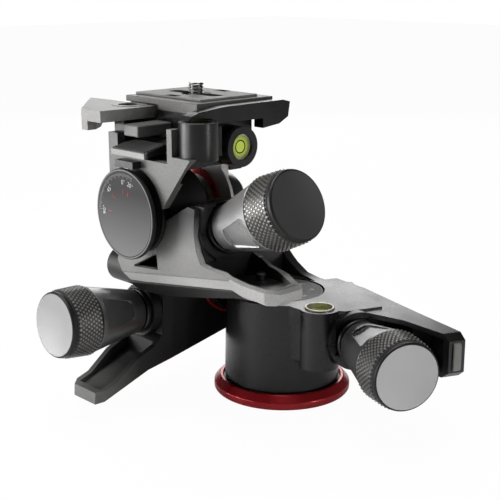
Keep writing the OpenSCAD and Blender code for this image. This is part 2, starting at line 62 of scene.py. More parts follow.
# ---------- node trees: sockets with arithmetic ----------
class Wire:
    """A socket that adds, multiplies and compares as a number does."""

    def __init__(self, tree, socket):
        self.tree, self.socket = tree, socket

    def __add__(self, other):
        return maths(self.tree, "ADD", self, other)

    def __radd__(self, other):
        return maths(self.tree, "ADD", other, self)

    def __sub__(self, other):
        return maths(self.tree, "SUBTRACT", self, other)

    def __rsub__(self, other):
        return maths(self.tree, "SUBTRACT", other, self)

    def __mul__(self, other):
        return maths(self.tree, "MULTIPLY", self, other)

    def __rmul__(self, other):
        return maths(self.tree, "MULTIPLY", other, self)

    def __truediv__(self, other):
        return maths(self.tree, "DIVIDE", self, other)

    def __neg__(self):
        return maths(self.tree, "MULTIPLY", self, -1.0)

    def above(self, other):
        return maths(self.tree, "GREATER_THAN", self, other)

    def below(self, other):
        return maths(self.tree, "LESS_THAN", self, other)

    def least(self, other):
        return maths(self.tree, "MINIMUM", self, other)

    def most(self, other):
        return maths(self.tree, "MAXIMUM", self, other)

    def mod(self, other):
        return maths(self.tree, "FLOORED_MODULO", self, other)

    def floor(self):
        return maths(self.tree, "FLOOR", self)

    def sin(self):
        return maths(self.tree, "SINE", self)

    def cos(self):
        return maths(self.tree, "COSINE", self)

    def abs(self):
        return maths(self.tree, "ABSOLUTE", self)

    def root(self):
        return maths(self.tree, "SQRT", self)


def plug(tree, value, socket):
    """Links a wire, or sets a plain value."""
    if isinstance(value, Wire):
        tree.links.new(value.socket, socket)
    else:
        socket.default_value = value


def maths(tree, operation, *values):
    """Adds a maths node over these values and returns its result."""
    node = tree.nodes.new("ShaderNodeMath")
    node.operation = operation
    for value, socket in zip(values, node.inputs):
        plug(tree, value, socket)
    return Wire(tree, node.outputs[0])


def add_node(tree, kind, settings=None, out=0, **inputs):
    """Adds a node, sets its properties, fills its inputs and returns one output as a wire.
    An input called i0, i1 and so on goes by its number, and the others go by their names."""
    node = tree.nodes.new(kind)
    for name, value in (settings or {}).items():
        setattr(node, name, value)
    for name, value in inputs.items():
        numbered = name[0] == "i" and name[1:].isdigit()
        plug(tree, value, node.inputs[int(name[1:]) if numbered else name.replace("_", " ")])
    return Wire(tree, node.outputs[out])


def vector_maths(tree, operation, out=0, **inputs):
    return add_node(tree, "ShaderNodeVectorMath", {"operation": operation}, out, **inputs)


def combine(tree, **parts):
    return add_node(tree, "ShaderNodeCombineXYZ", **parts)


def axes_of(tree, place):
    """The three coordinates of a place, each as a wire."""
    node = tree.nodes.new("ShaderNodeSeparateXYZ")
    plug(tree, place, node.inputs[0])
    return [Wire(tree, socket) for socket in node.outputs]


# ---------- materials ----------
def start_finish(name, rough, metal=0.0, coat=0.0, coat_rough=0.1, specular=0.5):
    """A Principled material with its uniform values set on the sockets."""
    finish = bpy.data.materials.new(name)
    finish.use_nodes = True
    shader = finish.node_tree.nodes["Principled BSDF"]
    shader.inputs["Roughness"].default_value = rough
    shader.inputs["Metallic"].default_value = metal
    shader.inputs["Coat Weight"].default_value = coat
    shader.inputs["Coat Roughness"].default_value = coat_rough
    shader.inputs["Specular IOR Level"].default_value = specular
    return finish, finish.node_tree, shader


def object_place(tree):
    """Object coordinates."""
    return add_node(tree, "ShaderNodeTexCoord", out=3)


def noise(tree, place, scale, detail=3.0, roughness=0.5):
    return add_node(tree, "ShaderNodeTexNoise", Vector=place, Scale=scale, Detail=detail,
                    Roughness=roughness)


def fine_noise(tree, place, scale):
    return noise(tree, place, scale, 2.0, 0.6)


def ramp(tree, factor, low, high, dark, light):
    """Maps factor from low..high to a colour between dark and light."""
    node = tree.nodes.new("ShaderNodeValToRGB")
    plug(tree, factor, node.inputs[0])
    stops = node.color_ramp.elements
    stops[0].position, stops[0].color = low, (*dark, 1)
    stops[1].position, stops[1].color = high, (*light, 1)
    return Wire(tree, node.outputs[0])


def spread(tree, factor, low, high, out_low, out_high):
    """Maps factor from low..high to a number from out_low to out_high."""
    return add_node(tree, "ShaderNodeMapRange", i0=factor, i1=low, i2=high, i3=out_low,
                    i4=out_high)


def bump(tree, shader, height, distance):
    node = add_node(tree, "ShaderNodeBump", Strength=1.0, Distance=distance, Height=height)
    plug(tree, node, shader.inputs["Normal"])


def grained_finish(name, dark, light, rough, grain, depth, metal=0.0, coat=0.0, coat_rough=0.2,
                   streaks=(1, 1, 1), specular=0.5):
    """A moulded or coated surface: fine grain in the normal, a slow drift in tone and gloss."""
    finish, tree, shader = start_finish(name, rough, metal, coat, coat_rough, specular)
    place = object_place(tree)
    stretched = add_node(tree, "ShaderNodeMapping", Vector=place, Scale=streaks)
    slow = noise(tree, stretched, 60.0, 4.0)
    plug(tree, ramp(tree, slow, 0.3, 0.7, dark, light), shader.inputs["Base Color"])
    plug(tree, spread(tree, slow, 0.3, 0.7, rough - 0.05, rough + 0.07),
         shader.inputs["Roughness"])
    bump(tree, shader, fine_noise(tree, place, grain), depth)
    return finish


def grey_coating(name, dark, light, *changes):
    """Powder coat with a fine speckle. Each change names an axis, a span along it in
    millimetres, and the factors that the tone has at the span's two ends."""
    finish, tree, shader = start_finish(name, 0.45, metal=0.25)
    place = object_place(tree)
    speck = fine_noise(tree, place, 2300.0)
    slow = noise(tree, place, 45.0)
    coat = ramp(tree, speck * 0.7 + slow * 0.3, 0.34, 0.66, dark, light)
    for letter, start, end, first_factor, last_factor in changes:
        along = axes_of(tree, place)["XYZ".index(letter)]
        factor = spread(tree, along, start * MM, end * MM, first_factor, last_factor)
        coat = vector_maths(tree, "SCALE", i0=coat, i3=factor)
    plug(tree, coat, shader.inputs["Base Color"])
    plug(tree, spread(tree, speck, 0.3, 0.7, 0.38, 0.52), shader.inputs["Roughness"])
    bump(tree, shader, speck, 0.05 * MM)
    return finish


def sleeve_finish(name, level):
    # painted highlight: level is set per knob, and the side knob's sleeve gets a far lighter one where it is lit
    return grained_finish(name, (level,) * 3, (level * 1.25,) * 3, rough=0.3, grain=2200.0,
                          depth=0.03 * MM, metal=0.85)


def cap_finish(name, centre, axis, face_radius, level):
    """Satin cap face with a black ring round it, on a knob's axis; the face's grey level is painted light, set per
    knob as a painted reflection.
    """
    ring_level = 0.012
    finish, tree, shader = start_finish(name, 0.42, metal=0.3, specular=0.4)
    place = object_place(tree)
    arm = vector_maths(tree, "SUBTRACT", i0=place, i1=centre)
    across = vector_maths(tree, "CROSS_PRODUCT", i0=arm, i1=axis)
    out = vector_maths(tree, "LENGTH", out=1, i0=across)
    patch = noise(tree, place, 60.0, 4.0)
    tone = (patch * 0.1 + 0.95) * level * out.below(face_radius) + ring_level
    colour = add_node(tree, "ShaderNodeCombineColor", i0=tone, i1=tone, i2=tone)
    plug(tree, colour, shader.inputs["Base Color"])
    plug(tree, spread(tree, patch, 0.3, 0.7, 0.38, 0.46), shader.inputs["Roughness"])
    bump(tree, shader, fine_noise(tree, place, 2400.0), 0.02 * MM)
    return finish


def across_axis(tree, axis_name, centre):
    """The distance from an axis through centre, and the later of the two coordinates that
    are square to that axis, measured from centre."""
    place = axes_of(tree, object_place(tree))
    first, second = [place[index] - centre[index] for index, letter in enumerate("XYZ")
                     if letter != axis_name]
    return (first * first + second * second).root(), second


def dial_face(name, axis_name, centre, radius):
    """Dark satin disc, paler towards its foot as a painted reflection, with a turned pale rim and a groove inside
    it.
    """
    rim_edge, groove_edge, face_edge = [radius - inset * MM for inset in (0.35, 0.85, 1.25)]
    finish, tree, shader = start_finish(name, 0.5, specular=0.25)
    out, height = across_axis(tree, axis_name, centre)
    side = out.above(rim_edge)
    rim = out.above(groove_edge) * out.below(rim_edge)
    groove = out.above(face_edge) * out.below(groove_edge)
    # painted reflection: the face's tone runs from pale at its foot to dark at its top, standing in for the bright
    # floor it reflects below
    shade = spread(tree, height, -radius, radius * 0.5, 0.18, 0.008)
    tone = rim * 0.20 + groove * 0.010 + side * 0.015 + shade * (1 - (rim + groove + side))
    colour = add_node(tree, "ShaderNodeCombineColor", i0=tone, i1=tone, i2=tone * 1.01)
    plug(tree, colour, shader.inputs["Base Color"])
    bump(tree, shader, noise(tree, object_place(tree), 2600.0), 0.02 * MM)
    return finish


def printed(name, colour):
    """Printed ink: a flat tone with a faint unevenness."""
    finish, tree, shader = start_finish(name, 0.5)
    patch = noise(tree, object_place(tree), 900.0)
    low = tuple(0.9 * value for value in colour)
    plug(tree, ramp(tree, patch, 0.3, 0.7, low, colour), shader.inputs["Base Color"])
    return finish


def vial_fluid(name, axis_name, centre):
    """Yellow-green fluid under a clear cover; the brighter tone round its bubble is a painted highlight, and its
    emission is a painted glow.
    """
    bubble_radius, fluid_radius, swirl_width = 1.8 * MM, 5.8 * MM, 1.2 * MM
    finish, tree, shader = start_finish(name, 0.12, coat=1.0, coat_rough=0.03)
    out = across_axis(tree, axis_name, centre)[0]
    swirl = noise(tree, object_place(tree), 260.0)
    # painted highlight and glow: edge is 1 at the bubble and 0 at the fluid's rim; it brightens the colour and
    # drives an emission though the vial is no lamp
    edge = spread(tree, out + swirl * swirl_width, bubble_radius, fluid_radius, 1.0, 0.0)
    plug(tree, ramp(tree, edge, 0.0, 0.8, (0.13, 0.17, 0.008), (0.46, 0.58, 0.05)),
         shader.inputs["Base Color"])
    plug(tree, ramp(tree, edge, 0.0, 0.8, (0.04, 0.05, 0.002), (0.20, 0.25, 0.02)),
         shader.inputs["Emission Color"])
    shader.inputs["Emission Strength"].default_value = 1.0
    return finish


# ---------- geometry node trees ----------
def start_tree(name, sizes):
    """A geometry tree with a named number input for each size; returns the tree and its wires."""
    tree = bpy.data.node_groups.new(name, "GeometryNodeTree")
    tree.interface.new_socket("Geometry", in_out="OUTPUT", socket_type="NodeSocketGeometry")
    for label, value in sizes.items():
        kind = "NodeSocketInt" if isinstance(value, int) else "NodeSocketFloat"
        tree.interface.new_socket(label, in_out="INPUT", socket_type=kind).default_value = value
    source = tree.nodes.new("NodeGroupInput")
    return tree, {label: Wire(tree, source.outputs[label]) for label in sizes}


def start_points(tree, count):
    """Loose points and the wire that numbers them."""
    points = add_node(tree, "GeometryNodePoints", Count=count)
    return points, add_node(tree, "GeometryNodeInputIndex")


def move_to(tree, geometry, spot):
    return add_node(tree, "GeometryNodeSetPosition", i0=geometry, Position=spot)


def end_tree(tree, geometry, finish):
    """Realizes the instances, sets the material and closes the tree."""
    real = add_node(tree, "GeometryNodeRealizeInstances", i0=geometry)
    dressed = add_node(tree, "GeometryNodeSetMaterial", i0=real, Material=finish)
    sink = tree.nodes.new("NodeGroupOutput")
    plug(tree, dressed, sink.inputs[0])
    return tree


def knurl_tree(finish):
    """Staggered rows of small pyramids on a band whose radius swells along it."""
    half_width_share, top_share, sunk_share, rounding = 0.47, 0.48, 0.9, 0.0005
    sizes = {"Columns": 50, "Rows": 9, "Start Radius": 13.8 * MM, "Swell Radius": 14.3 * MM,
             "Length": 10.8 * MM, "Height": 0.4 * MM}
    tree, get = start_tree("knurl", sizes)
    points, index = start_points(tree, get["Columns"] * get["Rows"])
    row = (index / get["Columns"] + rounding).floor()
    turn = (index.mod(get["Columns"]) + row.mod(2.0) * 0.5) * TAU / get["Columns"]
    along = (row + 0.5) / get["Rows"]
    radius = get["Start Radius"] + (get["Swell Radius"] - get["Start Radius"]) * along
    spot = combine(tree, X=turn.cos() * radius, Y=turn.sin() * radius,
                   Z=-(along * get["Length"]))
    facing = add_node(tree, "FunctionNodeAxesToRotation",
                      {"primary_axis": "Z", "secondary_axis": "X"},
                      i0=combine(tree, X=turn.cos(), Y=turn.sin()), i1=(0, 0, 1))
    wide = get["Swell Radius"] * TAU / get["Columns"] * half_width_share
    stud = add_node(tree, "GeometryNodeMeshCone", {"fill_type": "TRIANGLE_FAN"}, Vertices=4,
                    Radius_Top=wide * top_share, Radius_Bottom=wide, Depth=get["Height"] * 2.0)
    sunk = add_node(tree, "GeometryNodeTransform", i0=stud,
                    Translation=combine(tree, Z=get["Height"] * -sunk_share))
    studs = add_node(tree, "GeometryNodeInstanceOnPoints", i0=move_to(tree, points, spot),
                     Instance=sunk, Rotation=facing)
    return end_tree(tree, studs, finish)


def thread_tree(finish):
    """A closed threaded rod: a tube whose radius follows a helix, shut by a point at each end."""
    flank_slope, crest_flat, open_share, weld = 2.6, 0.15, 0.4999, 0.004 * MM
    sizes = {"Crest Radius": 3.175 * MM, "Depth": 0.6 * MM, "Pitch": 1.27 * MM,
             "Length": 10.0 * MM, "Around": 48, "Steps": 120}
    tree, get = start_tree("thread", sizes)
    sheet = add_node(tree, "GeometryNodeMeshGrid", Size_X=1.0, Size_Y=1.0,
                     Vertices_X=get["Around"] + 1, Vertices_Y=get["Steps"])
    place = axes_of(tree, add_node(tree, "GeometryNodeInputPosition"))
    turn = place[0] + 0.5
    climb = (place[1] + 0.5) * get["Length"]
    phase = (climb / get["Pitch"] - turn).mod(1.0)
    flank = ((phase - 0.5).abs() * flank_slope - crest_flat).least(1.0).most(0.0)
    shut = (climb - get["Length"] * 0.5).abs().below(get["Length"] * open_share)
    radius = (get["Crest Radius"] - get["Depth"] * flank) * shut
    angle = turn * TAU
    bent = move_to(tree, sheet, combine(tree, X=angle.cos() * radius, Y=angle.sin() * radius,
                                        Z=climb))
    joined = add_node(tree, "GeometryNodeMergeByDistance", i0=bent, Distance=weld)
    return end_tree(tree, joined, finish)


def tick_tree(finish):
    """Thin radial strokes on a disc, with every fourth one longer."""
    sizes = {"Count": 45, "First": -20.0, "Step": 2.5, "Rim": 17.2 * MM, "Short": 1.1 * MM,
             "Long": 1.9 * MM, "Width": 0.1 * MM, "Thick": 0.06 * MM}
    tree, get = start_tree("dial ticks", sizes)
    points, index = start_points(tree, get["Count"])
    turn = (get["First"] + index * get["Step"]) * (TAU / 360)
    long_one = index.mod(4.0).below(0.5)
    reach = get["Short"] + (get["Long"] - get["Short"]) * long_one
    middle = get["Rim"] - reach * 0.5
    placed = move_to(tree, points, combine(tree, X=turn.sin() * middle, Y=turn.cos() * middle))
    stroke = add_node(tree, "GeometryNodeMeshCube", Size=(1, 1, 1))
    size = combine(tree, X=get["Width"], Y=reach, Z=get["Thick"])
    strokes = add_node(tree, "GeometryNodeInstanceOnPoints", i0=placed, Instance=stroke,
                       Rotation=combine(tree, Z=-turn), Scale=size)
    return end_tree(tree, strokes, finish)


def rib_tree(finish):
    """A row of straight ribs along X, side by side along Y."""
    sizes = {"Count": 8, "Gap": 1.2 * MM, "Width": 0.6 * MM, "Length": 20.0 * MM,
             "Height": 0.5 * MM}
    tree, get = start_tree("ribs", sizes)
    points, index = start_points(tree, get["Count"])
    placed = move_to(tree, points, combine(tree, Y=index * get["Gap"]))
    rib = add_node(tree, "GeometryNodeMeshCylinder", Vertices=12, Radius=0.5, Depth=1.0)
    turned = add_node(tree, "GeometryNodeTransform", i0=rib, Rotation=(0, math.pi / 2, 0))
    size = combine(tree, X=get["Length"], Y=get["Width"], Z=get["Height"] * 2.0)
    ribs = add_node(tree, "GeometryNodeInstanceOnPoints", i0=placed, Instance=turned, Scale=size)
    return end_tree(tree, ribs, finish)


# ---------- pieces ----------
WELD = 0.002 * MM       # vertices closer than this become one
FLAT_ANGLE = 0.8        # degrees under which two faces count as one plane
SHARP_ANGLE = 28        # degrees from which an edge shades sharp
EASED_ANGLE = 32        # degrees from which an edge is eased


def show(name, data):
    """Links a new object that holds this data."""
    item = bpy.data.objects.new(name, data)
    bpy.context.scene.collection.objects.link(item)
    return item


def show_evaluated(name, holder, place, finish):
    """Shows the holder's evaluated mesh, moved by place, in place of the holder."""
    graph = bpy.context.evaluated_depsgraph_get()
    mesh = bpy.data.meshes.new_from_object(holder.evaluated_get(graph))
    bpy.data.objects.remove(holder)
    mesh.name = name
    mesh.transform(place)
    mesh.materials.clear()
    mesh.materials.append(finish)
    return show(name, mesh)


def show_built(name, mesh, place, finish):
    """Shows a bmesh with its faces turned outward, moved by place."""
    bmesh.ops.recalc_face_normals(mesh, faces=mesh.faces)
    data = bpy.data.meshes.new(name)
    mesh.to_mesh(data)
    mesh.free()
    data.transform(place)
    data.materials.append(finish)
    return show(name, data)


def attach(piece, body):
    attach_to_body(piece, body)


def at(x, y, z):
    """The matrix that moves by these millimetres."""
    return Matrix.Translation((x * MM, y * MM, z * MM))


def frame_on(origin, z_axis, x_hint):
    """The matrix that puts local Z along z_axis at origin, with X near x_hint."""
    z_axis = Vector(z_axis).normalized()
    x_axis = (Vector(x_hint) - z_axis * z_axis.dot(Vector(x_hint))).normalized()
    y_axis = z_axis.cross(x_axis)
    turn = Matrix((x_axis, y_axis, z_axis)).transposed().to_4x4()
    return Matrix.Translation(Vector(origin)) @ turn


def centre_of(node_name):
    low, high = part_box(node_name)
    return [(a + b) / 2 for a, b in zip(low, high)]


def grow(name, tree, sizes, place, finish):
    """Runs the tree with these sizes and shows its plain mesh, moved by place."""
    holder = show(name + " holder", bpy.data.meshes.new(name + " holder"))
    modifier = holder.modifiers.new("grow", "NODES")
    modifier.node_group = tree
    for item in tree.interface.items_tree:
        if item.in_out == "INPUT" and item.name in sizes:
            modifier[item.identifier] = sizes[item.name]
    return show_evaluated(name, holder, place, finish)


def dress(node_name, body, finish, bevel):
    """A merged copy of a CAD node with its edges eased, shown in its place."""
    piece = show(node_name + "_finished", frame["nodes"][node_name].data.copy())
    mesh = bmesh.new()
    mesh.from_mesh(piece.data)
    bmesh.ops.remove_doubles(mesh, verts=mesh.verts, dist=WELD)
    bmesh.ops.dissolve_limit(mesh, angle_limit=math.radians(FLAT_ANGLE), verts=mesh.verts,
                             edges=mesh.edges)
    for face in mesh.faces:
        face.smooth = True
    mesh.to_mesh(piece.data)
    mesh.free()
    piece.data.materials.clear()
    piece.data.materials.append(finish)
    piece.data.set_sharp_from_angle(angle=math.radians(SHARP_ANGLE))
    ease = piece.modifiers.new("eased edges", "BEVEL")
    ease.width = bevel * MM
    ease.segments = 2
    ease.limit_method = "ANGLE"
    ease.angle_limit = math.radians(EASED_ANGLE)
    ease.use_clamp_overlap = True
    even = piece.modifiers.new("even normals", "WEIGHTED_NORMAL")
    even.keep_sharp = True
    even.weight = 80
    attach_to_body(piece, body)
    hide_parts(node_name)


def ring_mesh(name, inner, outer, thick, place, finish, around=64):
    """A flat closed ring; its radii and thickness are in millimetres."""
    mesh = bmesh.new()
    loops = []
    for radius, height in ((inner, 0), (outer, 0), (outer, thick), (inner, thick)):
        loops.append([mesh.verts.new((radius * MM * math.cos(TAU * k / around),
                                      radius * MM * math.sin(TAU * k / around), height * MM))
                      for k in range(around)])
    for side in range(4):
        here, there = loops[side], loops[(side + 1) % 4]
        for k in range(around):
            after = (k + 1) % around
            mesh.faces.new((here[after], here[k], there[k], there[after]))
    return show_built(name, mesh, place, finish)


def flat_patch(name, corners, height, thick, finish):
    """A thin closed plate over a level face at height; its corners are in millimetres."""
    mesh = bmesh.new()
    foot = [mesh.verts.new((x * MM, y * MM, 0)) for x, y in corners]
    head = [mesh.verts.new((x * MM, y * MM, thick * MM)) for x, y in corners]
    mesh.faces.new(foot)
    mesh.faces.new(head)
    for k in range(len(corners)):
        after = (k + 1) % len(corners)
        mesh.faces.new((foot[k], foot[after], head[after], head[k]))
    return show_built(name, mesh, Matrix.Translation((0, 0, height)), finish)


def numeral(name, words, height, place, finish):
    """Plain printed numerals as a thin mesh."""
    curve = bpy.data.curves.new(name, "FONT")
    curve.body = words
    curve.size = height * MM
    curve.align_x, curve.align_y = "CENTER", "CENTER"
    curve.extrude = 0.04 * MM
    curve.offset = -0.04 * MM
    return show_evaluated(name, show(name + " holder", curve), place, finish)


# ---------- finishes ----------
DARKENED_SHARE = 0.05            # the share of the tone that is left at the dark end of a tone change; on the cover and the two arms these changes are painted light and shade
GREY_TONES = (0.23, 0.227, 0.22), (0.37, 0.366, 0.357)

BLACK = grained_finish("black moulded polymer", (0.006, 0.006, 0.0061), (0.013, 0.013, 0.0132),
                       rough=0.28, grain=2600.0, depth=0.04 * MM, coat=0.15, specular=0.38)
GREY = grey_coating("grey powder coat", *GREY_TONES)
# painted shade and highlight: the cover darkens towards its top, where the casting curves away from the light, and
# its surfaces set back from the front face, such as the lower bevel strip, are brightened 2.8 times as a painted
# highlight
COVER_PAINTED_LIGHT = grey_coating("cover coat with painted shade and highlight", (0.15, 0.149, 0.146), (0.23, 0.228, 0.223),
                     ("Z", 88, 74, DARKENED_SHARE, 1.0), ("Y", -59.65, -59.3, 1.0, 2.8))
# painted light: the middle casting's arm is darkened to near black except at its nose, which keeps the grey as a
# painted highlight of its lit end
NOSE_PAINTED_LIGHT = grey_coating("arm powder coat", *GREY_TONES, ("X", 33, 37, DARKENED_SHARE, 1.0))
# painted reflection: the front arm is near black except towards its tip, which grows grey as a painted reflection
ARM_TIP_PAINTED_REFLECTION = grey_coating("front arm coat with painted tip reflection", (0.15, 0.149, 0.144), (0.23, 0.228, 0.222),
                   ("Y", -58, -86, DARKENED_SHARE, 1.0))
PLATE = grey_coating("plate powder coat", (0.085, 0.084, 0.079), (0.145, 0.143, 0.136))
LEVER = grey_coating("lever powder coat", (0.15, 0.149, 0.141), (0.25, 0.248, 0.237))
# painted reflection: the rear sector's coat is made far paler than the grey coat, standing in for the light it
# reflects while it sits in shade
SECTOR_PAINTED_REFLECTION = grey_coating("sector coat with painted reflection", (0.42, 0.415, 0.40), (0.60, 0.594, 0.575))
WEDGE = grey_coating("darker powder coat", (0.09, 0.089, 0.087), (0.165, 0.164, 0.160))
LATCH = grey_coating("latch powder coat", (0.20, 0.198, 0.194), (0.30, 0.298, 0.292),
                     ("Y", -66.0, -67.4, DARKENED_SHARE, 1.0))
KNOB = grained_finish("knob polymer", (0.040, 0.0395, 0.038), (0.060, 0.059, 0.057),
                      rough=0.37, grain=2200.0, depth=0.04 * MM, metal=0.55, coat=0.05,
                      coat_rough=0.3)
# painted highlight: the studs get a tone far paler than the knob polymer they belong to, standing in for the light
# on their tops
STUD_PAINTED_HIGHLIGHT = grained_finish("knurl studs with painted highlight", (0.26, 0.253, 0.24), (0.34, 0.332, 0.318),
                      rough=0.32, grain=2200.0, depth=0.02 * MM, metal=0.7)
PAD = grained_finish("grey friction pad", (0.13, 0.13, 0.126), (0.29, 0.29, 0.28),
                     rough=0.6, grain=2000.0, depth=0.12 * MM)
# partly painted highlight: the champagne tint is the rim's own, and its paleness is raised beyond it as a painted
# highlight of the rim's edge
RIM_TINT_AND_HIGHLIGHT = grained_finish("champagne level rim with painted highlight", (0.40, 0.37, 0.32), (0.55, 0.51, 0.45),
                     rough=0.35, grain=1800.0, depth=0.03 * MM, metal=0.7)
RED = grained_finish("red anodising", (0.40, 0.008, 0.014), (0.52, 0.016, 0.024),
                     rough=0.26, grain=3000.0, depth=0.02 * MM, metal=0.45, coat=0.3,
                     coat_rough=0.15)
STEEL = grained_finish("turned steel", (0.20, 0.20, 0.20), (0.34, 0.34, 0.335),
                       rough=0.3, grain=1800.0, depth=0.03 * MM, metal=1.0,
                       streaks=(1, 1, 14))
BRONZE = grained_finish("bronze", (0.42, 0.25, 0.10), (0.58, 0.38, 0.17),
                        rough=0.3, grain=1800.0, depth=0.03 * MM, metal=1.0)
RUBBER = grained_finish("black rubber", (0.008, 0.008, 0.008), (0.016, 0.016, 0.016),
                        rough=0.6, grain=3000.0, depth=0.05 * MM)
SHADE = grained_finish("deep shade", (0.003, 0.003, 0.003), (0.005, 0.005, 0.005),
                       rough=0.9, grain=1500.0, depth=0.02 * MM, specular=0.03)
PALE = grained_finish("pale slide polymer", (0.6, 0.6, 0.57), (0.7, 0.7, 0.66),
                      rough=0.4, grain=1500.0, depth=0.03 * MM)
DARK = grained_finish("dark anodising", (0.025, 0.025, 0.026), (0.04, 0.04, 0.041),
                      rough=0.35, grain=2600.0, depth=0.03 * MM, metal=0.6)
WHITE_INK = printed("white ink", (0.75, 0.75, 0.73))
TICK_INK = printed("pale grey ink", (0.45, 0.45, 0.44))
RED_INK = printed("red ink", (0.6, 0.03, 0.03))
BLACK_INK = printed("black ink", (0.01, 0.01, 0.01))

SLOT_FINISH = {
    "red_anodised": RED, "black_casting": BLACK, "grey_casting": GREY, "steel": STEEL,
    "bronze": BRONZE, "knob_polymer": KNOB, "soft_black": RUBBER, "dark_plate": DARK,
    "level_rim": RIM_TINT_AND_HIGHLIGHT, "slide_polymer": PALE,
}
NODE_FINISH = {
    "camera_pad": PAD, "camera_plate": PLATE, "clamp_lever": LEVER, "pan_arm_end": LEVER,
    "left_casting": ARM_TIP_PAINTED_REFLECTION, "mid_casting": NOSE_PAINTED_LIGHT, "mid_cover": COVER_PAINTED_LIGHT, "top_wedge": WEDGE,
    "latch_stop": WEDGE, "safety_latch": LATCH, "rear_sector": SECTOR_PAINTED_REFLECTION,
}
# each knob's cap level and its sleeve's level, both painted light (a painted reflection on the caps, a painted
# highlight on the side knob's sleeve), and how far the cap reaches along the axis in mm
KNOBS = {"pan": (0.50, 0.15, 84.2), "front": (0.30, 0.18, 87.6), "side": (0.06, 0.45, 72.0)}
CAP_FACE_RADIUS = 12.8
for knob, (painted_cap_light, painted_sleeve_light, _) in KNOBS.items():
    spin = joints[knob + "_knob_spin"]
    NODE_FINISH[knob + "_cap"] = cap_finish(knob + " cap", spin["pos_m"], spin["axis"],
                                            CAP_FACE_RADIUS * MM, painted_cap_light)
    NODE_FINISH[knob + "_sleeve"] = sleeve_finish(knob + " sleeve", painted_sleeve_light)

# dials: the axis, the face's normal, the way to the right on the face, and its radius in mm
DIALS = {
    "side_dial": ("Y", (0, -1, 0), (1, 0, 0), 18.3),
    "front_dial": ("X", (-1, 0, 0), (0, -1, 0), 18.3),
    "pan_dial": ("Z", (0, 0, 1), (1, 0, 0), 18.0),
}
# scales: the strokes' count, first angle and step, then the angles that have a number
SCALES = {
    "side_dial": (45, -90.0, 2.5, (0, 20, -45, -90)),
    "front_dial": (45, -20.0, 2.5, (0, -20, 45, 90)),
    "pan_dial": (72, 0.0, 5.0, (0, 45, 90, 135, 180, 225, 270, 315)),
}
VIALS = {"deck_vial": ("Z", (0, 0, 1)), "front_vial": ("Z", (0, 0, 1)),
         "side_vial": ("X", (1, 0, 0))}
INSIDE = {"pan_shaft", "pan_wheel", "front_wheel", "side_wheel", "front_shaft", "side_pin",
          "slide_ring", "pan_spring", "front_spring", "side_spring"}
CASTING_SLOTS = ("black_casting", "grey_casting")
DIAL_EASE, VIAL_EASE, CASTING_EASE, SMALL_EASE = 0.5, 0.3, 0.5, 0.25


# ---------- the part ----------
def dress_dials():
    for node_name, (axis_name, _, _, radius) in DIALS.items():
        face = dial_face(node_name + " face", axis_name, centre_of(node_name), radius * MM)
        dress(node_name, body_of[node_name], face, DIAL_EASE)


def dress_vials():
    """The vials, each with a pale ring round its edge, pale partly as a painted highlight, and a black circle over
    its bubble.
    """
    cover_height = 2.5 * MM
    for node_name, (axis_name, normal) in VIALS.items():
        body, slot_name = body_of[node_name], slot_of[node_name]
        centre = centre_of(node_name)
        fluid = vial_fluid(node_name + " fluid", axis_name, centre)
        dress(node_name, body, fluid, VIAL_EASE)
        top = Vector(centre) + Vector(normal) * cover_height
        flat = frame_on(top, normal, (0, 1, 0))
        attach(ring_mesh(node_name + "_edge", 4.5, 5.15, 0.3, flat, RIM_TINT_AND_HIGHLIGHT), body)
        attach(ring_mesh(node_name + "_circle", 2.25, 2.75, 0.05, flat, BLACK_INK), body)


def dress_others():
    """Every other node; those inside keep their plain mesh, and the screw gets a thread."""
    for node_name, slot_name in slot_of.items():
        if node_name in DIALS or node_name in VIALS or node_name == "camera_screw":
            continue
        if node_name in INSIDE:
            hidden = frame["nodes"][node_name]
            hidden.data.materials.clear()
            hidden.data.materials.append(SLOT_FINISH[slot_name])
            continue
        finish = NODE_FINISH.get(node_name, SLOT_FINISH[slot_name])
        ease = CASTING_EASE if slot_name in CASTING_SLOTS else SMALL_EASE
        dress(node_name, body_of[node_name], finish, ease)


def add_knurls():
    band_inset = 3.0
    knurls = knurl_tree(STUD_PAINTED_HIGHLIGHT)
    for knob, (_, _, reach) in KNOBS.items():
        spin = joints[knob + "_knob_spin"]
        axis = Vector(spin["axis"]).normalized()
        start = Vector(spin["pos_m"]) + axis * ((reach - band_inset) * MM)
        hint = (0, 1, 0) if knob == "side" else (0.01, 0.02, 1)
        band = grow(knob + "_knurl", knurls, {}, frame_on(start, axis, hint), STUD_PAINTED_HIGHLIGHT)
        attach(band, knob + "_knob")


def add_camera_screw():
    """The camera screw's thread over a round head."""
    bore_radius, head_radius, head_thick = 0.2, 8.6, 2.0
    low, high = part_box("camera_screw")
    middle_x, middle_y = (low[0] + high[0]) / 2, (low[1] + high[1]) / 2
    thread_foot = low[2] + head_thick * MM
    screw = grow("camera_screw_thread", thread_tree(STEEL), {"Length": high[2] - thread_foot},
                 Matrix.Translation((middle_x, middle_y, thread_foot)), STEEL)
    attach(screw, "screw")
    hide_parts("camera_screw")
    head = ring_mesh("camera_screw_head", bore_radius, head_radius, head_thick,
                     Matrix.Translation((middle_x, middle_y, low[2])), STEEL)
    attach(head, "screw")


